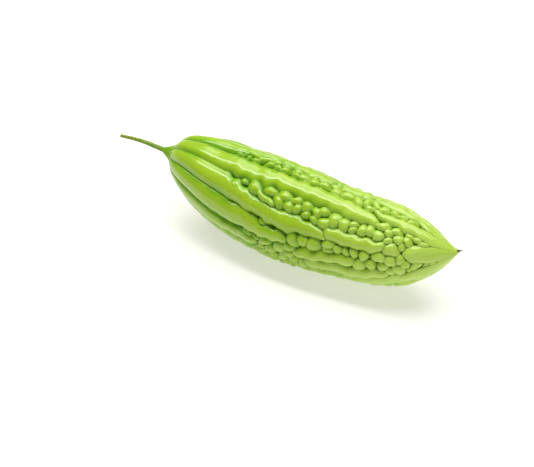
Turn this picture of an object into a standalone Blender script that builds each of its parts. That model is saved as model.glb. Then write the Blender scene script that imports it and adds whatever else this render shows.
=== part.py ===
"""A bitter gourd as picked: one fruit, its cut stem and the dried remnant of its blossom.

The fruit lies along X, stem at -X and blossom end at +X, with +Z up and the floor at z = 0.
Its skin is one surface: a radius round a gently bent axis, made of a smooth outline, a set of
lengthwise ribs that start and stop along the fruit, and beads (warts) packed in the grooves.
Girth angles are in degrees, from the front (-Y) side over the top (+Z, 90) to the back (180).
"""

import math

import bmesh
import bpy
import numpy as np
from mathutils import Matrix, Vector

# Driving dimensions, metres and degrees
FRUIT_LENGTH = 0.250       # shoulder to blossom end; places along it are shares of this, 0 to 1
GREATEST_RADIUS = 0.038    # over the rib crests, at the widest place
WIDEST_PLACE = 0.46        # share of the length
FLANK_TAPER = 0.10         # how much slimmer the far half is before it closes
SAG = 0.0165               # depth of the lengthwise bend
SAG_TILT = 40.0            # the bend's plane leans this far back from upright
SHOULDER_LIFT = 0.0028     # how far the axis humps up behind the neck
RIB_HEIGHT = 0.0068        # crest above groove floor
NECK_RADIUS = 0.0085       # where the conical neck meets the shoulder
NECK_NARROWING = 0.76      # how much of that is gone where the stem joins
NECK_FLARE = 0.0068        # how softly the neck runs into the shoulder
NECK_LENGTH = 0.0045       # from the start of the length to where the shoulder opens
NECK_DRAW = 0.0080         # how far the neck is drawn out beyond that start
TIP_RADIUS = 0.0008        # flat left at the blossom end
BEADED_FROM = 0.24         # the grooves carry beads between these shares of the length
BEADED_TO = 0.955
BEAD_SPACING = 0.0078      # between bead middles, give or take 40 %
BEAD_SWELL = 1.14          # a bead's size against its share of the groove, so that beads touch
STEM_LENGTH = 0.042
STEM_RADIUS = 0.0016       # at the middle of its length
STEM_TAPER = 0.22          # how much thicker its base is, and how much slimmer its cut end
STEM_BOW = 0.0008          # how far it bows off its straight line
STEM_DROOP = 4.5           # slope of its far part, downwards
REMNANT_LENGTH = 0.0030
REMNANT_RADIUS = 0.0010
CLEARANCE = 0.0003         # gap between pieces that touch
FLOOR_PRESS = 0.0008       # how far its own weight flattens the lowest crests

# Fineness of the fruit's mesh and of the packing of its beads
STATIONS = 230
ROUND_STEPS = 168
FRUIT_TRIANGLES = 8400
BEAD_SAMPLES = 26000
BEAD_SETTLES = 2

# Each rib: (share of the length, girth angle of its crest, half its width in degrees) at the few
# places where it turns or changes width. A rib starts at its first place and stops at its last.
RIBS = (
    ((0.00, 71, 17), (0.37, 72, 16.5), (0.54, 74, 15), (0.655, 73, 16), (0.725, 68, 13.5), (0.795, 63, 9)),
    ((0.755, 79, 6), (0.805, 76, 9.5), (0.90, 72, 15), (0.96, 66, 21), (1.00, 65, 26)),
    ((0.00, 39, 15.5), (0.31, 39, 16), (0.415, 31, 12.5), (0.52, 27, 14), (0.585, 28, 12), (0.655, 24, 5)),
    ((0.63, 32, 9.5), (0.72, 29, 12), (0.83, 30, 9.5)),
    ((0.810, 28, 12), (0.840, 27, 14.5), (0.868, 27, 12)),
    ((0.866, 25, 15), (0.90, 25, 20), (0.94, 24, 23), (1.00, 23, 28)),
    ((0.00, 8.5, 15), (0.385, 8, 15), (0.465, 5, 11), (0.54, 4, 9)),
    ((0.545, -11, 9.5), (0.63, -6, 11), (0.75, 1, 10)),
    ((0.00, -18, 13), (0.335, -18, 13), (0.44, -17, 9)),
    ((0.58, -22, 10.5), (0.71, -21, 13.5), (0.84, -15, 10)),
    ((0.00, -44, 14.5), (0.31, -44, 14.5), (0.51, -42, 10.5)),
    ((0.53, -46, 9.5), (0.67, -47, 12.5), (0.815, -34, 14.5), (0.935, -22, 18), (1.00, -18, 24)),
    ((0.00, -74, 15.5), (0.30, -75, 14.5), (0.64, -74, 12.5), (0.82, -66, 9)),
    ((0.82, -58, 9), (0.92, -58, 18), (1.00, -60, 24)),
    ((0.00, -104, 15.5), (0.28, -104, 14), (0.55, -105, 12.5), (0.74, -102, 11), (0.90, -96, 11)),
    ((0.00, -134, 15.5), (0.30, -134, 13.5), (0.46, -133, 9.5)),
    ((0.48, -135, 9), (0.66, -134, 12.5), (0.86, -130, 12), (1.00, -126, 34)),
    ((0.00, -163, 15.5), (0.26, -163, 14), (0.56, -163, 11.5), (0.62, -160, 8)),
    ((0.64, -161, 9), (0.78, -160, 11.5), (0.92, -160, 9)),
    ((0.00, 167, 15.5), (0.30, 167, 13.5), (0.40, 166, 9.5)),
    ((0.42, 169, 9), (0.60, 168, 12.5), (0.76, 167, 10)),
    ((0.77, 170, 9), (0.90, 172, 15), (1.00, 176, 28)),
    ((0.00, 136, 16), (0.30, 136, 13.5), (0.52, 138, 12.5), (0.68, 137, 9.5)),
    ((0.69, 139, 9), (0.86, 136, 12.5), (1.00, 138, 22)),
    ((0.00, 104, 16), (0.22, 106, 15), (0.36, 113, 11), (0.52, 112, 13.5), (0.60, 110, 9.5)),
    ((0.28, 99, 4), (0.345, 98, 6), (0.415, 99, 4)),
    ((0.60, 112, 9), (0.66, 111, 12.5), (0.74, 108, 10)),
    ((0.74, 108, 9), (0.84, 106, 12.5), (1.00, 104, 22)),
    ((0.395, 47, 5.0), (0.435, 44, 6.0), (0.475, 41, 5.0)),
)
RIB_POWER = 2.15           # higher is a flatter crest with steeper sides
RIB_ROUNDING = 0.5         # with the power above, 0.5 is a nearly round section
RIB_END = 1.2              # length of a rib's rounded end, in half-widths
RIB_WAVE = 0.13            # how much a rib's edge swings in and out, share of its half-width
RIB_CROWD = 0.13           # how much wider the ribs are near the neck, where they crowd together


def ease(low, high, x):
    """0 below low, 1 above high, and u^2 (3 - 2u) between."""
    u = np.clip((x - low) / (high - low), 0, 1)
    return u * u * (3 - 2 * u)


def soft_max(a, b, blend):
    """The larger of a and b, plus (blend - |a - b|)^2 / 4 blend where they are closer than blend."""
    near = np.maximum(blend - np.abs(a - b), 0) / blend
    return np.maximum(a, b) + near * near * blend / 4


def through(points, t):
    """Cubic pieces through (t, value) points, with the mean slope of the neighbours at each point."""
    places, values = np.array(points, float).T
    slopes = np.gradient(values, places)
    i = np.clip(np.searchsorted(places, t) - 1, 0, len(places) - 2)
    step = places[i + 1] - places[i]
    u = np.clip((t - places[i]) / step, 0, 1)
    rise = values[i + 1] - values[i]
    start = slopes[i] * step
    end = slopes[i + 1] * step
    return values[i] + u * (start + u * (3 * rise - 2 * start - end + u * (start + end - 2 * rise)))


def crest_radius(t):
    """Radius over the crests: a conical neck, (1 - (1 - x)^2)^0.41 up the
    shoulder, then (1 - x^5)^0.93 to the tip."""
    shoulder = NECK_LENGTH / FRUIT_LENGTH
    up = np.clip((t - shoulder) / (WIDEST_PLACE - shoulder), 0, 1)
    x = np.clip((t - WIDEST_PLACE) / (1 - WIDEST_PLACE), 0, 1)
    down = (1 - FLANK_TAPER * ease(0, 0.45, x)) * (1 - x ** 5) ** 0.93
    body = GREATEST_RADIUS * (1 - (1 - up) ** 2) ** 0.41 * down
    opened = np.clip(t / shoulder, 0, 1)
    neck = NECK_RADIUS * (1 - NECK_NARROWING * (1 - opened)) * (1 - ease(shoulder, 0.2, t))
    return np.hypot(soft_max(body, neck, NECK_FLARE * (0.3 + 0.7 * opened)), TIP_RADIUS * ease(0.9, 1, t))


def axis_point(t):
    """The bent axis: straight along X, less a drop of SAG t (end - t)^0.65 scaled to peak at 1, plus
    a lift that rises and falls over the shoulder. Its start is drawn out by NECK_DRAW."""
    end = 1.015
    peak = end / 1.65
    drop = SAG * (t / peak) * ((end - t) / (end - peak)) ** 0.65
    lift = SHOULDER_LIFT * ease(0, 0.1, t) * (1 - ease(0.1, 0.3, t))
    along = (t - 0.5) * FRUIT_LENGTH - NECK_DRAW * np.clip(1 - t / 0.026, 0, 1) ** 2
    tilt = math.radians(SAG_TILT)
    return np.stack([along, -drop * math.sin(tilt), lift - drop * math.cos(tilt)], -1)


def axis_frame(t):
    """Axis point, unit tangent by differences, and the front and up directions square to it."""
    h = 1e-3
    tangent = axis_point(np.clip(t + h, 0, 1)) - axis_point(np.clip(t - h, 0, 1))
    tangent /= np.linalg.norm(tangent, axis=-1, keepdims=True)
    up = np.array([0.0, 0.0, 1.0]) - tangent * tangent[..., 2:3]
    up /= np.linalg.norm(up, axis=-1, keepdims=True)
    return axis_point(t), tangent, np.cross(tangent, up), up


def angle_between(a, b):
    """a - b in degrees, brought to -180..180."""
    return (a - b + 180) % 360 - 180


def ripple(t, angle, length, seed):
    """Gentle lumps, about -1 to 1: the sum of 14 sine waves of that wavelength in random
    directions, whole numbers of them going round the fruit."""
    chance = np.random.default_rng(seed)
    lumps = np.zeros(np.broadcast(t, angle).shape)
    for heading in chance.uniform(0, 2 * math.pi, 14):
        lengthwise = 2 * math.pi * FRUIT_LENGTH / length * math.cos(heading)
        crosswise = round(2 * math.pi * GREATEST_RADIUS / length * math.sin(heading))
        start = chance.uniform(0, 2 * math.pi)
        lumps += np.sin(lengthwise * t + crosswise * np.radians(angle) + start)
    return lumps / 14 ** 0.5 / 1.4


def wobble(t, seed):
    """Irregular waves along the length, about -1 to 1: six sine waves of 5 to 26 turns."""
    chance = np.random.default_rng(seed)
    waves = [np.sin(2 * math.pi * (turns * t + chance.random())) for turns in chance.uniform(5, 26, 6)]
    return sum(waves) / 3


def rib_relief(t, angle):
    """Ribs' height, 0 at the groove and 1 at the crest: (1 - r^RIB_POWER)^RIB_ROUNDING, r being
    the distance from the crest line in half-widths, across it or past its rounded ends."""
    relief = np.zeros(np.broadcast(t, angle).shape)
    for number, rib in enumerate(RIBS):
        places, crests, halves = np.array(rib, float).T
        crest = through(np.stack([places, crests], -1), t)
        half = through(np.stack([places, halves], -1), t) * (1 + RIB_CROWD * (1 - ease(0.18, 0.38, t)))
        loose = ease(0.16, 0.4, t) * (1 - ease(0.88, 1, t))
        off = angle_between(angle, crest + 1.4 * loose * wobble(t, 300 + number))
        wave = np.where(off > 0, wobble(t, 100 + number), wobble(t, 200 + number))
        across = off / (half * (1 + RIB_WAVE * loose * wave))
        end = RIB_END * np.radians(half) * crest_radius(t) / FRUIT_LENGTH
        before = (places[0] + end - t) / end if places[0] > 0 else 0 * t
        after = (t - places[-1] + end) / end if places[-1] < 1 else 0 * t
        along = np.clip(np.maximum(before, after), 0, None)
        dome = np.clip(1 - np.hypot(across, along) ** RIB_POWER, 0, 1) ** RIB_ROUNDING
        relief = np.maximum(relief, dome)
    return relief


def on_round(t, angle):
    """(along, front, up) of a place on the straightened fruit, for distances between beads."""
    turn = np.radians(angle)
    radius = crest_radius(t)
    return np.stack([t * FRUIT_LENGTH, radius * np.cos(turn), radius * np.sin(turn)], -1)


def pack_beads():
    """Beads that share out the grooves. Seeds stand a random spacing apart, each moves to the
    middle of the groove nearest to it a few times, and takes the spread of its share as its
    shape: rows of t, angle and the three numbers of its 2 x 2 spread, along and across."""
    chance = np.random.default_rng(11)
    t = chance.uniform(BEADED_FROM, BEADED_TO, BEAD_SAMPLES)
    angle = chance.uniform(-180, 180, BEAD_SAMPLES)
    even = chance.uniform(0, GREATEST_RADIUS, BEAD_SAMPLES) < crest_radius(t)
    groove = even & (rib_relief(t, angle) < 0.4)
    t, angle = t[groove], angle[groove]
    places = on_round(t, angle)
    spacing = BEAD_SPACING * chance.uniform(0.6, 1.4, len(t)) * (1 - 0.3 * ease(0.75, 0.95, t))
    spacing *= 0.6 + 0.4 * ease(0.24, 0.36, t)
    seeds = [0]
    for i in range(1, len(t)):
        gaps = np.linalg.norm(places[seeds] - places[i], axis=1)
        if np.all(gaps > 0.5 * (spacing[seeds] + spacing[i])):
            seeds.append(i)
    middles = places[seeds]
    for _ in range(BEAD_SETTLES):
        owner = np.array([np.argmin(((middles - p) ** 2).sum(1)) for p in places])
        count = np.maximum(np.bincount(owner, minlength=len(middles)), 1)[:, None]
        sums = np.stack([np.bincount(owner, places[:, k], len(middles)) for k in range(3)], -1)
        middles = sums / count
    place = middles[:, 0] / FRUIT_LENGTH
    turn = np.degrees(np.arctan2(middles[:, 2], middles[:, 1]))
    along = (t - place[owner]) * FRUIT_LENGTH
    across = np.radians(angle_between(angle, turn[owner])) * crest_radius(place[owner])
    spreads = [np.bincount(owner, part, len(middles)) / count[:, 0]
               for part in (along * along, along * across, across * across)]
    rounder = 0.3 * (spreads[0] + spreads[2])
    spreads[0] += rounder
    spreads[2] += rounder
    return np.stack([place, turn, *spreads], -1)[count[:, 0] > 8]


def bead_relief(t, angle, beads):
    """Beads' height on the ribs' scale: the highest of the domes h (1 - r^2)^0.62, r being the
    distance from the bead's middle measured by its spread, and h growing with its width."""
    relief = np.zeros(np.broadcast(t, angle).shape)
    for number, (place, turn, along_2, mixed, across_2) in enumerate(beads):
        size = 2 * BEAD_SWELL * math.sqrt(along_2 + across_2)
        near = np.abs(t[:, 0] - place) * FRUIT_LENGTH < size
        along = (t[near] - place) * FRUIT_LENGTH
        across = np.radians(angle_between(angle, turn)) * crest_radius(place)
        whole = along_2 * across_2 - mixed ** 2
        r_2 = (across_2 * along ** 2 - 2 * mixed * along * across + along_2 * across ** 2)
        r_2 = r_2 / whole / (2 * BEAD_SWELL) ** 2
        facing = np.arctan2(across, along)
        r_2 = r_2 * (1 + 0.14 * np.sin(2 * facing + number) + 0.12 * np.sin(3 * facing + 2 * number))
        height = min(1.0, 0.52 + 190 * whole ** 0.25)
        relief[near] = np.maximum(relief[near], height * np.clip(1 - r_2, 0, 1) ** 0.62)
    return relief


def even_stations(count):
    """Shares of the length, equally far apart along the outline."""
    t = np.linspace(0, 1, 4000)
    run = np.hypot(np.diff(axis_point(t)[:, 0]), np.diff(crest_radius(t)))
    travelled = np.concatenate([[0], np.cumsum(run)])
    return np.interp(np.linspace(0, travelled[-1], count), travelled, t)


def skin(t, angle):
    """Points of the skin: axis + radius * direction. The radius is the crests' less the depth of
    the grooves, plus gentle lumps; ribs and beads fill the grooves, which end before the tip."""
    relief = soft_max(rib_relief(t, angle), bead_relief(t, angle, pack_beads()), 0.15)
    relief = soft_max(relief, 0.62 * ease(0.89, 0.99, t), 0.1)
    crest = crest_radius(t)
    depth = np.minimum(RIB_HEIGHT, 0.24 * np.maximum(crest - 0.5 * NECK_RADIUS, 0) + 0.1 * TIP_RADIUS)
    depth = depth * (1 - 0.6 * ease(0.86, 0.98, t))
    swell = 0.0005 * ripple(t, angle, 0.034, 3) + 0.00026 * ripple(t, angle, 0.012, 4) * ease(0.15, 0.45, t)
    swell = swell * ease(0.03, 0.2, t) * (1 - ease(0.9, 1, t))
    radius = (crest - depth * (1 - relief) + swell)[..., None]
    centre, _, front, up = axis_frame(t)
    turn = np.radians(angle)[..., None]
    return centre + radius * (front * np.cos(turn) + up * np.sin(turn))


def material(name, colour, roughness):
    """A Principled material of one colour."""
    made = bpy.data.materials.new(name)
    made.use_nodes = True
    shader = made.node_tree.nodes["Principled BSDF"]
    shader.inputs["Base Color"].default_value = (*colour, 1)
    shader.inputs["Roughness"].default_value = roughness
    shader.inputs["Metallic"].default_value = 0
    return made


def add_object(name, data, finish):
    """Put a mesh or curve into the scene as a named piece."""
    made = bpy.data.objects.new(name, data)
    made.data.materials.append(finish)
    bpy.context.scene.collection.objects.link(made)
    return made


def build_fruit(finish):
    """The fruit: rings of skin points joined by quads, closed at both ends, then thinned."""
    t = even_stations(STATIONS)[:, None]
    angle = (np.arange(ROUND_STEPS) * 360 / ROUND_STEPS - 180)[None, :]
    points = skin(t, angle).reshape(-1, 3)
    points = np.vstack([points, axis_point(np.array([0.0, 1.0]))])
    first_end, last_end = len(points) - 2, len(points) - 1
    faces = []
    for i in range(STATIONS - 1):
        for j in range(ROUND_STEPS):
            k = (j + 1) % ROUND_STEPS
            low, high = i * ROUND_STEPS, (i + 1) * ROUND_STEPS
            faces.append((low + j, high + j, high + k, low + k))
    last = (STATIONS - 1) * ROUND_STEPS
    for j in range(ROUND_STEPS):
        k = (j + 1) % ROUND_STEPS
        faces.append((first_end, j, k))
        faces.append((last_end, last + k, last + j))
    mesh = bpy.data.meshes.new("fruit_skin")
    mesh.from_pydata(points.tolist(), [], faces)
    fruit = add_object("fruit", mesh, finish)
    thin = fruit.modifiers.new("thin", "DECIMATE")
    thin.ratio = FRUIT_TRIANGLES / (2 * len(faces) - 2 * ROUND_STEPS)
    evaluated = fruit.evaluated_get(bpy.context.evaluated_depsgraph_get())
    thinned = bpy.data.meshes.new_from_object(evaluated)
    fruit.modifiers.remove(thin)
    fruit.data = thinned
    thinned.shade_smooth()
    return fruit


def build_stem(finish):
    """The cut stem: a tapered round curve that leaves along the neck and turns to its own slope."""
    joint, tangent, _, _ = axis_frame(np.array([0.0]))
    base = Vector(joint[0]) - Vector(tangent[0]) * CLEARANCE
    curve = bpy.data.curves.new("stem_line", "CURVE")
    curve.dimensions = "3D"
    curve.bevel_depth = STEM_RADIUS
    curve.bevel_resolution = 3
    curve.use_fill_caps = True
    line = curve.splines.new("POLY")
    count = 14
    line.points.add(count - 1)
    start = Vector(tangent[0])
    droop = math.radians(STEM_DROOP)
    straight = Vector((math.cos(droop), 0, math.sin(droop)))
    for i in range(count):
        u = i / (count - 1)
        turned = u * (1 - u / 2)
        bow = STEM_BOW * math.sin(math.pi * u) ** 2
        place = base - STEM_LENGTH * (u * straight + turned * (start - straight))
        place += Vector((0, -0.4 * bow, bow))
        line.points[i].co = (*place, 1)
        line.points[i].radius = 1 + STEM_TAPER * (1 - 2 * u)
    return add_object("stem", curve, finish)


def build_remnant(finish):
    """The dried blossom remnant: a small seven-sided cone standing off the blossom end."""
    end, tangent, _, _ = axis_frame(np.array([1.0]))
    away = Vector(tangent[0])
    middle = Vector(end[0]) + away * (CLEARANCE + REMNANT_LENGTH / 2)
    place = Matrix.Translation(middle) @ away.to_track_quat("Z", "X").to_matrix().to_4x4()
    shape = bmesh.new()
    bmesh.ops.create_cone(shape, cap_ends=True, segments=7, radius1=REMNANT_RADIUS,
                          radius2=0.3 * REMNANT_RADIUS, depth=REMNANT_LENGTH, matrix=place)
    mesh = bpy.data.meshes.new("remnant_shape")
    shape.to_mesh(mesh)
    shape.free()
    return add_object("blossom_remnant", mesh, finish)


def press_flat(mesh):
    """Cut a mesh at the floor and close each cut with one flat face."""
    shape = bmesh.new()
    shape.from_mesh(mesh)
    everything = [*shape.verts, *shape.edges, *shape.faces]
    cut = bmesh.ops.bisect_plane(shape, geom=everything, plane_co=(0, 0, 0), plane_no=(0, 0, -1),
                                 clear_outer=True)
    rims = [part for part in cut["geom_cut"] if isinstance(part, bmesh.types.BMEdge)]
    bmesh.ops.edgeloop_fill(shape, edges=rims)
    shape.to_mesh(mesh)
    shape.free()


def settle(fruit, others):
    """Bring the whole over the origin, lay it on the floor and flatten the crests that meet it."""
    bpy.context.view_layer.update()
    corners = [piece.matrix_world @ Vector(corner) for piece in (fruit, *others)
               for corner in piece.bound_box]
    low = Vector(min(c[k] for c in corners) for k in range(3))
    high = Vector(max(c[k] for c in corners) for k in range(3))
    shift = Vector((-(low.x + high.x) / 2, -(low.y + high.y) / 2, -low.z - FLOOR_PRESS))
    for piece in others:
        piece.location += shift
    fruit.data.transform(Matrix.Translation(shift))
    press_flat(fruit.data)


for old in list(bpy.data.objects):
    bpy.data.objects.remove(old)

fruit_object = build_fruit(material("green_skin", (0.32, 0.56, 0.06), 0.25))
stem_object = build_stem(material("green_stem", (0.14, 0.26, 0.04), 0.5))
remnant_object = build_remnant(material("dried_blossom", (0.16, 0.09, 0.04), 0.8))
settle(fruit_object, (stem_object, remnant_object))
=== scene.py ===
# A bitter gourd as picked, laid on a pale floor: the fruit with its ribs and beads, the cut stem,
# and the dried remnant of the blossom. Girth angles are degrees from the front (-Y) over the top.
import math

import bpy
import numpy as np
from mathutils import Matrix, Vector


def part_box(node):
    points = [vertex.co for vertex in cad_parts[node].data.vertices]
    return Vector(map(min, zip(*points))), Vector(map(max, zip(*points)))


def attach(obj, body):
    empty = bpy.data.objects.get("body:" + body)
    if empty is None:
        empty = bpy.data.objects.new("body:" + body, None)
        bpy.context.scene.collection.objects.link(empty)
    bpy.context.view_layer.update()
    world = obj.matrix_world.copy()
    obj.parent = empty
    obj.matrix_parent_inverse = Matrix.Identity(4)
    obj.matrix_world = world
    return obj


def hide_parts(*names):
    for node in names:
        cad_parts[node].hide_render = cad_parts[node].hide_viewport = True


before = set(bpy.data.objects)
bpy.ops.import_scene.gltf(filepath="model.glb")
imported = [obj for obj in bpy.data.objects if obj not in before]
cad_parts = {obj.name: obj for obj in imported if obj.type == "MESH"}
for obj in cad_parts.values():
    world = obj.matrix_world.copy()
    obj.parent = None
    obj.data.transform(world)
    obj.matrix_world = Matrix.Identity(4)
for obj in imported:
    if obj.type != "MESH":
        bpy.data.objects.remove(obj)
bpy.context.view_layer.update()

scene = bpy.context.scene

# --- Camera -------------------------------------------------------------------------------------
# A short telephoto view from above and a little towards the blossom end. It looks past the fruit's
# left front, so that the gourd sits above and right of the view's middle.

AZIMUTH, ELEVATION = math.radians(30.7), math.radians(36)
DISTANCE = 0.959
FRUIT_LENGTH = 0.250
fruit_low, fruit_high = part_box("fruit")


def direction(azimuth, elevation):
    """Unit vector to the camera: azimuth 0 stands at -Y and turns towards +X, elevation lifts it."""
    return Vector((math.sin(azimuth) * math.cos(elevation), -math.cos(azimuth) * math.cos(elevation),
                   math.sin(elevation)))


toward = direction(AZIMUTH, ELEVATION)
across = Vector((math.cos(AZIMUTH), math.sin(AZIMUTH), 0))
upward = toward.cross(across)
middle = Vector((fruit_high[0] - FRUIT_LENGTH / 2, (fruit_low[1] + fruit_high[1]) / 2 + 0.0102, 0.0494))
aim = middle - 0.0318 * across - 0.0280 * upward
camera = bpy.data.objects.new("camera", bpy.data.cameras.new("camera"))
camera.data.lens = 85
camera.data.sensor_width = 36
camera.location = aim + DISTANCE * toward
camera.rotation_euler = toward.to_track_quat("Z", "Y").to_euler()
scene.collection.objects.link(camera)
scene.camera = camera
scene.view_settings.view_transform = "Standard"

# --- Floor and lights ---------------------------------------------------------------------------
# A seamless white table that glows brighter away from the fruit, under a large soft box and a long
# strip of light that lies along the fruit. A dim white room lifts the shadows.

FLOOR_SIZE = 6.0
TABLE_WHITE, TABLE_GLOW = (0.64, 0.63, 0.62, 1), (1, 0.97, 0.95, 1)
NEAR_GLOW, FAR_GLOW = 0.5, 1.0       # the table's own light near the fruit and far from it
GLOW_FROM, GLOW_TO = 0.6, 1.6        # metres from the middle, where the glow starts to rise and stops
ROOM_LIGHT, ROOM_SEEN = 0.14, 1.0    # the room's strength as a light, and as it shows behind the table


def set_inputs(shader, **values):
    """Set a shader's own sockets by name, with underscores for spaces."""
    for name, value in values.items():
        shader.inputs[name.replace("_", " ")].default_value = value


def new_material(name):
    """An empty node material with its Principled shader: (material, nodes, links, shader)."""
    made = bpy.data.materials.new(name)
    made.use_nodes = True
    tree = made.node_tree
    return made, tree.nodes, tree.links, tree.nodes["Principled BSDF"]


def ranged(nodes, links, value, low, high, start=0, end=1):
    """A value mapped from low..high to start..end, clamped."""
    made = nodes.new("ShaderNodeMapRange")
    set_inputs(made, From_Min=low, From_Max=high, To_Min=start, To_Max=end)
    links.new(value, made.inputs["Value"])
    return made.outputs["Result"]


def put(name, points, faces, finish):
    """A mesh object at the origin from points and faces, with smooth shading and one material."""
    mesh = bpy.data.meshes.new(name)
    mesh.from_pydata(points, [], faces)
    mesh.materials.append(finish)
    mesh.shade_smooth()
    made = bpy.data.objects.new(name, mesh)
    scene.collection.objects.link(made)
    return made


floor_finish, nodes, links, shader = new_material("white_table")
set_inputs(shader, Base_Color=TABLE_WHITE, Roughness=0.45, Emission_Color=TABLE_GLOW)
away = nodes.new("ShaderNodeVectorMath")
away.operation = "LENGTH"
links.new(nodes.new("ShaderNodeTexCoord").outputs["Object"], away.inputs[0])
glow = ranged(nodes, links, away.outputs["Value"], GLOW_FROM, GLOW_TO, NEAR_GLOW, FAR_GLOW)
links.new(glow, shader.inputs["Emission Strength"])
half = FLOOR_SIZE / 2
floor = put("floor", [(-half, -half, 0), (half, -half, 0), (half, half, 0), (-half, half, 0)],
            [(0, 1, 2, 3)], floor_finish)


def soft_box(name, toward_light, distance, length, width, power):
    """An area light at a distance along a direction, facing the fruit, with its length along X."""
    lamp = bpy.data.lights.new(name, "AREA")
    lamp.shape = "RECTANGLE"
    lamp.size, lamp.size_y = length, width
    lamp.energy = power
    made = bpy.data.objects.new(name, lamp)
    aimed = Vector(toward_light).normalized()
    side = (Vector((1, 0, 0)) - aimed.x * aimed).normalized()
    made.location = middle + distance * aimed
    made.rotation_euler = Matrix((side, aimed.cross(side), aimed)).transposed().to_euler()
    scene.collection.objects.link(made)
    return made


soft_box("overhead_box", (-0.06, 0.42, 0.90), 1.1, 1.3, 1.0, 10.5)
soft_box("strip_box", (-0.22, -0.02, 0.98), 1.0, 1.4, 0.14, 6.8)
soft_box("front_box", (0.55, -0.70, 0.5), 1.2, 0.9, 0.9, 1.8)
world = bpy.data.worlds.new("white_room")
world.use_nodes = True
nodes, links = world.node_tree.nodes, world.node_tree.links
nodes["Background"].inputs["Color"].default_value = (1, 1, 1, 1)
seen = nodes.new("ShaderNodeLightPath").outputs["Is Camera Ray"]
links.new(ranged(nodes, links, seen, 0, 1, ROOM_LIGHT, ROOM_SEEN), nodes["Background"].inputs["Strength"])
scene.world = world

# --- Fruit --------------------------------------------------------------------------------------
# One fleshy fruit: a bent, pointed body with a dozen lengthwise ribs that stop and start along it,
# and glossy beads packed between them. The skin is one closed surface over (length, girth angle).

GREATEST_RADIUS = 0.038
WIDEST_PLACE = 0.46            # share of the length
SHOULDER_POWER = 0.41
FLANK_TAPER = 0.10             # how much narrower the flank gets before the tip's own curve
TIP_POWERS = (5, 0.93)
SAG = 0.0165                   # how far the middle hangs below the ends
SAG_POWER = 0.65
SAG_TILT = 40.0                # degrees that the sag leans towards the front
SHOULDER_LIFT = 0.0028
RIB_HEIGHT = 0.0068
NECK_RADIUS = 0.0085
NECK_NARROWING = 0.76          # share of the neck's radius that is gone at the stem
NECK_FLARE = 0.0068
NECK_LENGTH = 0.0045
NECK_DRAW = 0.0080
TIP_RADIUS = 0.0008
TAIL_RELIEF = 0.62             # the grooves fill up to this share of the ribs at the tip
SWELL, FINE_SWELL = 0.0005, 0.00026
FLOOR_PRESS = 0.0008           # how flat the floor presses the lowest crests
BEADED_FROM, BEADED_TO = 0.24, 0.955
BEAD_SPACING = 0.0078          # between bead middles, give or take 40 %
BEAD_SAMPLES = 26000
BEAD_SETTLES = 2
BEAD_SWELL = 1.14              # a bead's size against its share of the groove, so that beads touch
BEAD_POWER = 0.62
BEAD_BLEND = 0.15              # softness of the join between beads and ribs
CREASE_BLURS = 5
STATIONS, ROUND_STEPS = 336, 294

# Each rib: (share of the length, girth angle of its crest, half its width in degrees) where it
# turns or changes width. A rib starts at its first place and stops at its last.
RIBS = (
    ((0.00, 71, 17), (0.37, 72, 16.5), (0.54, 74, 15), (0.655, 73, 16), (0.725, 68, 13.5), (0.795, 63, 9)),
    ((0.755, 79, 6), (0.805, 76, 9.5), (0.90, 72, 15), (0.96, 66, 21), (1.00, 65, 26)),
    ((0.00, 39, 15.5), (0.31, 39, 16), (0.415, 31, 12.5), (0.52, 27, 14), (0.585, 28, 12), (0.655, 24, 5)),
    ((0.63, 32, 9.5), (0.72, 29, 12), (0.83, 30, 9.5)),
    ((0.810, 28, 12), (0.840, 27, 14.5), (0.868, 27, 12)),
    ((0.866, 25, 15), (0.90, 25, 20), (0.94, 24, 23), (1.00, 23, 28)),
    ((0.00, 8.5, 15), (0.385, 8, 15), (0.465, 5, 11), (0.54, 4, 9)),
    ((0.545, -11, 9.5), (0.63, -6, 11), (0.75, 1, 10)),
    ((0.00, -18, 13), (0.335, -18, 13), (0.44, -17, 9)),
    ((0.58, -22, 10.5), (0.71, -21, 13.5), (0.84, -15, 10)),
    ((0.00, -44, 14.5), (0.31, -44, 14.5), (0.51, -42, 10.5)),
    ((0.53, -46, 9.5), (0.67, -47, 12.5), (0.815, -34, 14.5), (0.935, -22, 18), (1.00, -18, 24)),
    ((0.00, -74, 15.5), (0.30, -75, 14.5), (0.64, -74, 12.5), (0.82, -66, 9)),
    ((0.82, -58, 9), (0.92, -58, 18), (1.00, -60, 24)),
    ((0.00, -104, 15.5), (0.28, -104, 14), (0.55, -105, 12.5), (0.74, -102, 11), (0.90, -96, 11)),
    ((0.00, -134, 15.5), (0.30, -134, 13.5), (0.46, -133, 9.5)),
    ((0.48, -135, 9), (0.66, -134, 12.5), (0.86, -130, 12), (1.00, -126, 34)),
    ((0.00, -163, 15.5), (0.26, -163, 14), (0.56, -163, 11.5), (0.62, -160, 8)),
    ((0.64, -161, 9), (0.78, -160, 11.5), (0.92, -160, 9)),
    ((0.00, 167, 15.5), (0.30, 167, 13.5), (0.40, 166, 9.5)),
    ((0.42, 169, 9), (0.60, 168, 12.5), (0.76, 167, 10)),
    ((0.77, 170, 9), (0.90, 172, 15), (1.00, 176, 28)),
    ((0.00, 136, 16), (0.30, 136, 13.5), (0.52, 138, 12.5), (0.68, 137, 9.5)),
    ((0.69, 139, 9), (0.86, 136, 12.5), (1.00, 138, 22)),
    ((0.00, 104, 16), (0.22, 106, 15), (0.36, 113, 11), (0.52, 112, 13.5), (0.60, 110, 9.5)),
    ((0.28, 99, 4), (0.345, 98, 6), (0.415, 99, 4)),
    ((0.60, 112, 9), (0.66, 111, 12.5), (0.74, 108, 10)),
    ((0.74, 108, 9), (0.84, 106, 12.5), (1.00, 104, 22)),
    ((0.395, 47, 5.0), (0.435, 44, 6.0), (0.475, 41, 5.0)),
)
RIB_POWER = 2.15
RIB_ROUNDING = 0.5
RIB_END = 1.2
RIB_WAVE = 0.13
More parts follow.
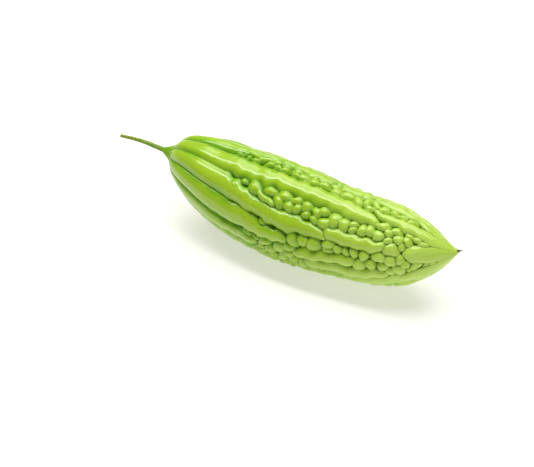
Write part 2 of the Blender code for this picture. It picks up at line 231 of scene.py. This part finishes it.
RIB_CROWD = 0.13


def ease(low, high, x):
    """0 below low, 1 above high, and u^2 (3 - 2u) between."""
    u = np.clip((x - low) / (high - low), 0, 1)
    return u * u * (3 - 2 * u)


def soft_max(a, b, blend):
    """The larger of a and b, plus (blend - |a - b|)^2 / 4 blend where they are closer than blend."""
    near = np.maximum(blend - np.abs(a - b), 0) / blend
    return np.maximum(a, b) + near * near * blend / 4


def through(points, t):
    """Cubic pieces through (t, value) points, with the mean slope of the neighbours at each point."""
    places, values = np.array(points, float).T
    slopes = np.gradient(values, places)
    i = np.clip(np.searchsorted(places, t) - 1, 0, len(places) - 2)
    step = places[i + 1] - places[i]
    u = np.clip((t - places[i]) / step, 0, 1)
    rise = values[i + 1] - values[i]
    start = slopes[i] * step
    end = slopes[i + 1] * step
    return values[i] + u * (start + u * (3 * rise - 2 * start - end + u * (start + end - 2 * rise)))


def crest_radius(t):
    """Radius over the crests: a conical neck, (1 - (1 - x)^2)^SHOULDER_POWER up the shoulder, then
    (1 - x^5)^0.93 to the tip, the two numbers of TIP_POWERS."""
    shoulder = NECK_LENGTH / FRUIT_LENGTH
    up = np.clip((t - shoulder) / (WIDEST_PLACE - shoulder), 0, 1)
    x = np.clip((t - WIDEST_PLACE) / (1 - WIDEST_PLACE), 0, 1)
    down = (1 - FLANK_TAPER * ease(0, 0.45, x)) * (1 - x ** TIP_POWERS[0]) ** TIP_POWERS[1]
    body = GREATEST_RADIUS * (1 - (1 - up) ** 2) ** SHOULDER_POWER * down
    opened = np.clip(t / shoulder, 0, 1)
    neck = NECK_RADIUS * (1 - NECK_NARROWING * (1 - opened)) * (1 - ease(shoulder, 0.2, t))
    return np.hypot(soft_max(body, neck, NECK_FLARE * (0.3 + 0.7 * opened)), TIP_RADIUS * ease(0.9, 1, t))


def axis_point(t):
    """The bent axis: straight along X, less a drop of SAG t (end - t)^SAG_POWER scaled to peak at 1,
    plus a lift that rises and falls over the shoulder. Its start is drawn out by NECK_DRAW."""
    end = 1.015
    peak = end / (1 + SAG_POWER)
    drop = SAG * (t / peak) * ((end - t) / (end - peak)) ** SAG_POWER
    lift = SHOULDER_LIFT * ease(0, 0.1, t) * (1 - ease(0.1, 0.3, t))
    along = (t - 0.5) * FRUIT_LENGTH - NECK_DRAW * np.clip(1 - t / 0.026, 0, 1) ** 2
    tilt = math.radians(SAG_TILT)
    return np.stack([along, -drop * math.sin(tilt), lift - drop * math.cos(tilt)], -1)


def axis_frame(t):
    """Axis point, unit tangent by differences, and the front and up directions square to it."""
    h = 1e-3
    tangent = axis_point(np.clip(t + h, 0, 1)) - axis_point(np.clip(t - h, 0, 1))
    tangent /= np.linalg.norm(tangent, axis=-1, keepdims=True)
    up = np.array([0.0, 0.0, 1.0]) - tangent * tangent[..., 2:3]
    up /= np.linalg.norm(up, axis=-1, keepdims=True)
    return axis_point(t), tangent, np.cross(tangent, up), up


def angle_between(a, b):
    """a - b in degrees, brought to -180..180."""
    return (a - b + 180) % 360 - 180


def ripple(t, angle, length, seed):
    """Gentle lumps, about -1 to 1: the sum of 14 sine waves of that wavelength in random
    directions, whole numbers of them going round the fruit."""
    chance = np.random.default_rng(seed)
    lumps = np.zeros(np.broadcast(t, angle).shape)
    for heading in chance.uniform(0, 2 * math.pi, 14):
        lengthwise = 2 * math.pi * FRUIT_LENGTH / length * math.cos(heading)
        crosswise = round(2 * math.pi * GREATEST_RADIUS / length * math.sin(heading))
        start = chance.uniform(0, 2 * math.pi)
        lumps += np.sin(lengthwise * t + crosswise * np.radians(angle) + start)
    return lumps / 14 ** 0.5 / 1.4


def wobble(t, seed):
    """Irregular waves along the length, about -1 to 1: six sine waves of 5 to 26 turns."""
    chance = np.random.default_rng(seed)
    waves = [np.sin(2 * math.pi * (turns * t + chance.random())) for turns in chance.uniform(5, 26, 6)]
    return sum(waves) / 3


def rib_relief(t, angle):
    """Ribs' height, 0 at the groove and 1 at the crest: (1 - r^RIB_POWER)^RIB_ROUNDING, r being
    the distance from the crest line in half-widths, across it or past its rounded ends."""
    relief = np.zeros(np.broadcast(t, angle).shape)
    for number, rib in enumerate(RIBS):
        places, crests, halves = np.array(rib, float).T
        crest = through(np.stack([places, crests], -1), t)
        half = through(np.stack([places, halves], -1), t) * (1 + RIB_CROWD * (1 - ease(0.18, 0.38, t)))
        loose = ease(0.16, 0.4, t) * (1 - ease(0.88, 1, t))
        off = angle_between(angle, crest + 1.4 * loose * wobble(t, 300 + number))
        wave = np.where(off > 0, wobble(t, 100 + number), wobble(t, 200 + number))
        across = off / (half * (1 + RIB_WAVE * loose * wave))
        end = RIB_END * np.radians(half) * crest_radius(t) / FRUIT_LENGTH
        before = (places[0] + end - t) / end if places[0] > 0 else 0 * t
        after = (t - places[-1] + end) / end if places[-1] < 1 else 0 * t
        along = np.clip(np.maximum(before, after), 0, None)
        dome = np.clip(1 - np.hypot(across, along) ** RIB_POWER, 0, 1) ** RIB_ROUNDING
        relief = np.maximum(relief, dome)
    return relief


def on_round(t, angle):
    """(along, front, up) of a place on the straightened fruit, for distances between beads."""
    turn = np.radians(angle)
    radius = crest_radius(t)
    return np.stack([t * FRUIT_LENGTH, radius * np.cos(turn), radius * np.sin(turn)], -1)


def pack_beads():
    """Beads that share out the grooves. Seeds stand a random spacing apart, each moves to the
    middle of the groove nearest to it a few times, and takes the spread of its share as its
    shape: rows of t, angle and the three numbers of its 2 x 2 spread, along and across."""
    chance = np.random.default_rng(11)
    t = chance.uniform(BEADED_FROM, BEADED_TO, BEAD_SAMPLES)
    angle = chance.uniform(-180, 180, BEAD_SAMPLES)
    even = chance.uniform(0, GREATEST_RADIUS, BEAD_SAMPLES) < crest_radius(t)
    groove = even & (rib_relief(t, angle) < 0.4)
    t, angle = t[groove], angle[groove]
    places = on_round(t, angle)
    spacing = BEAD_SPACING * chance.uniform(0.6, 1.4, len(t)) * (1 - 0.3 * ease(0.75, 0.95, t))
    spacing *= 0.6 + 0.4 * ease(0.24, 0.36, t)
    seeds = [0]
    for i in range(1, len(t)):
        gaps = np.linalg.norm(places[seeds] - places[i], axis=1)
        if np.all(gaps > 0.5 * (spacing[seeds] + spacing[i])):
            seeds.append(i)
    middles = places[seeds]
    for _ in range(BEAD_SETTLES):
        owner = np.array([np.argmin(((middles - p) ** 2).sum(1)) for p in places])
        count = np.maximum(np.bincount(owner, minlength=len(middles)), 1)[:, None]
        sums = np.stack([np.bincount(owner, places[:, k], len(middles)) for k in range(3)], -1)
        middles = sums / count
    place = middles[:, 0] / FRUIT_LENGTH
    turn = np.degrees(np.arctan2(middles[:, 2], middles[:, 1]))
    along = (t - place[owner]) * FRUIT_LENGTH
    across = np.radians(angle_between(angle, turn[owner])) * crest_radius(place[owner])
    spreads = [np.bincount(owner, part, len(middles)) / count[:, 0]
               for part in (along * along, along * across, across * across)]
    rounder = 0.3 * (spreads[0] + spreads[2])
    spreads[0] += rounder
    spreads[2] += rounder
    return np.stack([place, turn, *spreads], -1)[count[:, 0] > 8]


def bead_relief(t, angle, beads):
    """Beads' height on the ribs' scale: the highest of the domes h (1 - r^2)^BEAD_POWER, r being
    the distance from the bead's middle measured by its spread, and h growing with its width."""
    relief = np.zeros(np.broadcast(t, angle).shape)
    for number, (place, turn, along_2, mixed, across_2) in enumerate(beads):
        size = 2 * BEAD_SWELL * math.sqrt(along_2 + across_2)
        near = np.abs(t[:, 0] - place) * FRUIT_LENGTH < size
        along = (t[near] - place) * FRUIT_LENGTH
        across = np.radians(angle_between(angle, turn)) * crest_radius(place)
        whole = along_2 * across_2 - mixed ** 2
        r_2 = (across_2 * along ** 2 - 2 * mixed * along * across + along_2 * across ** 2)
        r_2 = r_2 / whole / (2 * BEAD_SWELL) ** 2
        facing = np.arctan2(across, along)
        r_2 = r_2 * (1 + 0.14 * np.sin(2 * facing + number) + 0.12 * np.sin(3 * facing + 2 * number))
        height = min(1.0, 0.52 + 190 * whole ** 0.25)
        relief[near] = np.maximum(relief[near], height * np.clip(1 - r_2, 0, 1) ** BEAD_POWER)
    return relief


def even_stations(count):
    """Shares of the length, equally far apart along the outline."""
    t = np.linspace(0, 1, 4000)
    run = np.hypot(np.diff(axis_point(t)[:, 0]), np.diff(crest_radius(t)))
    travelled = np.concatenate([[0], np.cumsum(run)])
    return np.interp(np.linspace(0, travelled[-1], count), travelled, t)


def closed_tube(rows, columns, start, end):
    """Faces of a grid of rings, wrapped round and closed by a fan to the start and end points."""
    index = np.arange(rows * columns).reshape(rows, columns)
    ahead = np.roll(index, -1, axis=1)
    quads = np.stack([index[:-1], index[1:], ahead[1:], ahead[:-1]], -1).reshape(-1, 4)
    first = np.stack([np.full(columns, start), index[0], ahead[0]], -1)
    last = np.stack([np.full(columns, end), ahead[-1], index[-1]], -1)
    return quads.tolist() + first.tolist() + last.tolist()


t = even_stations(STATIONS)[:, None]
angle = (np.arange(ROUND_STEPS) * 360 / ROUND_STEPS - 180)[None, :]
ribs = rib_relief(t, angle)
beads = bead_relief(t, angle, pack_beads())
relief = soft_max(soft_max(ribs, beads, BEAD_BLEND), TAIL_RELIEF * ease(0.89, 0.99, t), 0.1)
crest = crest_radius(t)
depth = np.minimum(RIB_HEIGHT, 0.24 * np.maximum(crest - 0.5 * NECK_RADIUS, 0) + 0.1 * TIP_RADIUS)
depth = depth * (1 - 0.6 * ease(0.86, 0.98, t))
swell = SWELL * ripple(t, angle, 0.034, 3) + FINE_SWELL * ripple(t, angle, 0.012, 4) * ease(0.15, 0.45, t)
radius = (crest - depth * (1 - relief) + swell * ease(0.03, 0.2, t) * (1 - ease(0.9, 1, t)))[..., None]
centre, _, front, up = axis_frame(t)
turn = np.radians(angle)[..., None]
skin = (centre + radius * (front * np.cos(turn) + up * np.sin(turn))).reshape(-1, 3)
skin = np.vstack([skin, axis_point(np.array([0.0, 1.0]))])
shift = (np.array(fruit_low) + np.array(fruit_high) - skin.min(0) - skin.max(0)) / 2
shift[2] = -FLOOR_PRESS - skin[:, 2].min()
skin += shift
skin[:, 2] = np.maximum(skin[:, 2], 0)


def blurred(field, times):
    """The field averaged with its four neighbours, several times over: a soft blur."""
    for _ in range(times):
        ahead, behind = np.roll(field, 1, axis=1), np.roll(field, -1, axis=1)
        padded = np.vstack([field[:1], field, field[-1:]])
        field = (field * 2 + ahead + behind + padded[:-2] + padded[2:]) / 6
    return field


# Painted shade darkens the skin in the creases, and the skin is also duller there and towards the neck.
crease = np.clip(blurred(relief, CREASE_BLURS) - relief, 0, 1)
matte = np.maximum(ease(0.005, 0.06, crease), 0.9 * (1 - ease(0.02, 0.09, t)))


def colour_ramp(nodes, stops):
    """A colour ramp node through (position, colour) stops."""
    ramp = nodes.new("ShaderNodeValToRGB")
    elements = ramp.color_ramp.elements
    elements[0].position, elements[1].position = stops[0][0], stops[-1][0]
    for position, _ in stops[1:-1]:
        elements.new(position)
    for element, (_, colour) in zip(elements, stops):
        element.color = (*colour, 1)
    return ramp


def mix(nodes, links, factor, first, second):
    """A colour mix: from first to second as factor goes from 0 to 1. Each is a socket or a value."""
    made = nodes.new("ShaderNodeMix")
    made.data_type = "RGBA"
    sockets = made.inputs["Factor"], made.inputs[6], made.inputs[7]
    for socket, given in zip(sockets, (factor, first, second)):
        if isinstance(given, bpy.types.NodeSocket):
            links.new(given, socket)
        else:
            socket.default_value = given if isinstance(given, (int, float)) else (*given, 1)
    return made.outputs[2]


def noise(nodes, links, coordinates, per_metre, detail=2):
    """Noise with that many lumps to the metre, 0 to 1."""
    made = nodes.new("ShaderNodeTexNoise")
    set_inputs(made, Scale=per_metre, Detail=detail)
    links.new(coordinates, made.inputs["Vector"])
    return made.outputs["Fac"]


def attribute(nodes, name):
    """The value of a mesh attribute."""
    made = nodes.new("ShaderNodeAttribute")
    made.attribute_name = name
    return made.outputs["Fac"]


# The crest green is paler for painted light on the crests, and the groove green is darker for painted shade
# in the grooves; the flesh green is the skin's own.
CREST_GREEN_PAINTED_LIT = (0.37, 0.60, 0.018)
FLESH_GREEN = (0.22, 0.48, 0.002)
GROOVE_GREEN_PAINTED_SHADE = (0.10, 0.31, 0.001)
# The crease green is painted shade for the creases.
CREASE_GREEN_PAINTED_SHADE = (0.05, 0.17, 0.001)
PALE_GREEN = (0.43, 0.64, 0.025)
RIPE_GREEN = (0.58, 0.82, 0.13)
NECK_GREEN = (0.15, 0.38, 0.003)
green_skin, nodes, links, shader = new_material("green_skin")
set_inputs(shader, Specular_IOR_Level=0.22, Subsurface_Weight=0.12,
           Subsurface_Scale=0.002, Coat_Roughness=0.16)
shader.inputs["Subsurface Radius"].default_value = (0.7, 1.0, 0.25)
coordinates = nodes.new("ShaderNodeTexCoord").outputs["Object"]
place = nodes.new("ShaderNodeSeparateXYZ")
links.new(coordinates, place.inputs["Vector"])
# By relief, the ramp runs from painted groove shade through the skin's own green to painted light on the
# crests.
ramp = colour_ramp(nodes, ((0.15, GROOVE_GREEN_PAINTED_SHADE), (0.75, FLESH_GREEN), (1.0, CREST_GREEN_PAINTED_LIT)))
links.new(attribute(nodes, "relief"), ramp.inputs["Fac"])
ripening = ranged(nodes, links, place.outputs["X"], -0.03, 0.10, 0, 0.55)
colour = mix(nodes, links, ripening, ramp.outputs["Color"], PALE_GREEN)
colour = mix(nodes, links, ranged(nodes, links, place.outputs["X"], 0.04, 0.125, 0, 0.7), colour, RIPE_GREEN)
mottle = ranged(nodes, links, noise(nodes, links, coordinates, 38, 3), 0.5, 0.68, 0, 0.5)
colour = mix(nodes, links, mottle, colour, PALE_GREEN)
neck = ranged(nodes, links, place.outputs["X"], fruit_low[0] + 0.020, fruit_low[0] + 0.007, 0, 0.8)
colour = mix(nodes, links, neck, colour, NECK_GREEN)
# Painted shade: the colour darkens towards the crease green where the skin sinks into a crease.
painted_crease_shade = ranged(nodes, links, attribute(nodes, "crease"), 0.01, 0.1, 0, 0.95)
colour = mix(nodes, links, painted_crease_shade, colour, CREASE_GREEN_PAINTED_SHADE)
links.new(colour, shader.inputs["Base Color"])
for name, gloss, dull in (("Roughness", 0.3, 0.8), ("Coat Weight", 0.8, 0.0)):
    links.new(ranged(nodes, links, attribute(nodes, "matte"), 0, 1, gloss, dull), shader.inputs[name])
stretch = nodes.new("ShaderNodeMapping")
stretch.inputs["Scale"].default_value = (0.45, 1, 1)
links.new(coordinates, stretch.inputs["Vector"])
pores = nodes.new("ShaderNodeBump")
set_inputs(pores, Strength=0.9, Distance=0.0008)
links.new(noise(nodes, links, stretch.outputs["Vector"], 190, 4), pores.inputs["Height"])
links.new(pores.outputs["Normal"], shader.inputs["Normal"])
total = STATIONS * ROUND_STEPS
fruit = put("fruit_skin", skin, closed_tube(STATIONS, ROUND_STEPS, total, total + 1), green_skin)
for name, field in (("relief", relief), ("crease", crease), ("matte", matte)):
    values = fruit.data.attributes.new(name, "FLOAT", "POINT")
    values.data.foreach_set("value", np.concatenate([field.ravel(), [0.5, 0.5]]).astype(np.float32))
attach(fruit, "root")
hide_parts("fruit")

# --- Stem ---------------------------------------------------------------------------------------
# The cut stem: a tough round stalk grown onto the fruit's neck, drawn into five low ridges by its
# fibres, browning towards the cut. The cut face is pale and slightly hollow.

STEM_LENGTH = 0.042
STEM_RADIUS = 0.0016
STEM_TAPER = 0.22
STEM_FLARE = 0.16              # how much wider the stem gets at its cut end
STEM_BOW = 0.0008
STEM_DROOP = 4.5               # degrees below level at which it heads for its cut end
CLEARANCE = 0.0003             # gap left for each grown joint
RIDGES, RIDGE_HEIGHT = 5, 0.075
STEM_RINGS, STEM_SIDES = 120, 40
STEM_GREEN, STEM_OLIVE, STEM_FIBRE = (0.20, 0.36, 0.015), (0.30, 0.33, 0.012), (0.25, 0.36, 0.06)
STEM_SPOT, CUT_PALE = (0.05, 0.11, 0.01), (0.66, 0.64, 0.30)


def stem_line(u):
    """Middle of the stem at shares u of its length: it leaves along the neck and turns to its own
    slope, its direction changing evenly, with a bow of sin^2."""
    joint, tangent, _, _ = axis_frame(np.array([0.0]))
    droop = math.radians(STEM_DROOP)
    straight = np.array([math.cos(droop), 0, math.sin(droop)])
    turned = (u * (1 - u / 2))[:, None]
    bow = (STEM_BOW * np.sin(math.pi * u) ** 2)[:, None] * np.array([0, -0.4, 1])
    run = u[:, None] * straight + turned * (tangent - straight)
    return joint + shift - CLEARANCE * tangent - STEM_LENGTH * run + bow


def tube_round(line, radius):
    """Points round a line of points: for each, a ring in the plane square to the line there, at the
    radius given for each ring and each side."""
    tangent = np.gradient(line, axis=0)
    tangent /= np.linalg.norm(tangent, axis=1, keepdims=True)
    side = np.cross(tangent, [0, 0, 1.0])
    side /= np.linalg.norm(side, axis=1, keepdims=True)
    over = np.cross(side, tangent)
    turn = np.arange(radius.shape[1]) * 2 * math.pi / radius.shape[1]
    ring = side[:, None] * np.cos(turn)[:, None] + over[:, None] * np.sin(turn)[:, None]
    return line[:, None] + radius[..., None] * ring


u = np.linspace(0, 1, STEM_RINGS)
around = (np.arange(STEM_SIDES) * 2 * math.pi / STEM_SIDES)[None, :]
chance = np.random.default_rng(21)
thickness = STEM_RADIUS * (1 + STEM_TAPER * (1 - 2 * u) + STEM_FLARE * ease(0.965, 1, u))
knots = sum(np.sin(2 * math.pi * (turns * u + chance.random())) for turns in (5, 8, 13, 21)) / 4
thickness = thickness * (1 + 0.035 * knots)
ridges = RIDGE_HEIGHT * np.cos(RIDGES * around + 2.2 * u[:, None] + 0.4 * knots[:, None])
ridges = ridges + 0.02 * np.sin(17 * around + 30 * u[:, None])
rings = tube_round(stem_line(u), thickness[:, None] * (1 + ridges))
cut_face = [rings[-1] + inwards * (stem_line(np.ones(1))[0] - rings[-1]) for inwards in (0.08, 0.35, 0.7)]
cut_face = np.array(cut_face) + np.array([0.0, 0.00012, 0.00022])[:, None, None] * np.array([1.0, 0, 0])
points = np.vstack([rings, cut_face]).reshape(-1, 3)
points = np.vstack([points, stem_line(np.zeros(1)), cut_face[-1].mean(0)[None]])
green_stem, nodes, links, shader = new_material("green_stem")
set_inputs(shader, Roughness=0.5, Specular_IOR_Level=0.3)
coordinates = nodes.new("ShaderNodeTexCoord").outputs["Object"]
stretch = nodes.new("ShaderNodeMapping")
stretch.inputs["Scale"].default_value = (0.12, 1, 1)
links.new(coordinates, stretch.inputs["Vector"])
fibres = noise(nodes, links, stretch.outputs["Vector"], 2600, 3)
spots = noise(nodes, links, coordinates, 700, 2)
place = nodes.new("ShaderNodeSeparateXYZ")
links.new(coordinates, place.inputs["Vector"])
stem_low, stem_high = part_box("stem")
browning = ranged(nodes, links, place.outputs["X"], stem_high[0] - 0.012, stem_low[0] + 0.004)
colour = mix(nodes, links, browning, STEM_GREEN, STEM_OLIVE)
colour = mix(nodes, links, ranged(nodes, links, fibres, 0.35, 0.7, 0, 0.6), colour, STEM_FIBRE)
colour = mix(nodes, links, ranged(nodes, links, spots, 0.5, 0.7, 0, 0.55), colour, STEM_SPOT)
colour = mix(nodes, links, attribute(nodes, "cut"), colour, CUT_PALE)
links.new(colour, shader.inputs["Base Color"])
grain = nodes.new("ShaderNodeBump")
set_inputs(grain, Strength=0.7, Distance=0.0001)
links.new(fibres, grain.inputs["Height"])
links.new(grain.outputs["Normal"], shader.inputs["Normal"])
total = (STEM_RINGS + 3) * STEM_SIDES
stem = put("stem_stalk", points, closed_tube(STEM_RINGS + 3, STEM_SIDES, total, total + 1), green_stem)
values = stem.data.attributes.new("cut", "FLOAT", "POINT")
values.data.foreach_set("value", (np.arange(total + 2) >= STEM_RINGS * STEM_SIDES).astype(np.float32))
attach(stem, "root")
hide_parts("stem")

# --- Blossom remnant ----------------------------------------------------------------------------
# What is left of the flower at the fruit's far end: a dry brown twist that still clings on.

REMNANT_LENGTH = 0.0030
REMNANT_RADIUS = 0.0010
REMNANT_RINGS, REMNANT_SIDES = 28, 30
DARK_BROWN, LIGHT_BROWN = (0.12, 0.05, 0.025), (0.34, 0.18, 0.08)

end, tangent, _, _ = axis_frame(np.array([1.0]))
u = np.linspace(0, 1, REMNANT_RINGS)[:, None]
around = (np.arange(REMNANT_SIDES) * 2 * math.pi / REMNANT_SIDES)[None, :]
curl = np.hstack([0 * u, -0.0004 * u * u, 0.0006 * u * u])
line = end + shift + tangent * (CLEARANCE + REMNANT_LENGTH * u) + curl
folds = 0.22 * np.cos(3 * around + 3 * u) + 0.14 * np.cos(5 * around - 4 * u)
rings = tube_round(line, REMNANT_RADIUS * (1 - 0.62 * u + 0.2 * np.sin(7 * u)) * (1 + folds))
points = np.vstack([rings.reshape(-1, 3), line[:1], line[-1:]])
dried_blossom, nodes, links, shader = new_material("dried_blossom")
set_inputs(shader, Roughness=0.85)
coordinates = nodes.new("ShaderNodeTexCoord").outputs["Object"]
flecks = ranged(nodes, links, noise(nodes, links, coordinates, 1500, 3), 0.35, 0.65)
colour = mix(nodes, links, flecks, DARK_BROWN, LIGHT_BROWN)
links.new(colour, shader.inputs["Base Color"])
total = REMNANT_RINGS * REMNANT_SIDES
remnant = put("dried_flower", points, closed_tube(REMNANT_RINGS, REMNANT_SIDES, total, total + 1),
              dried_blossom)
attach(remnant, "root")
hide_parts("blossom_remnant")
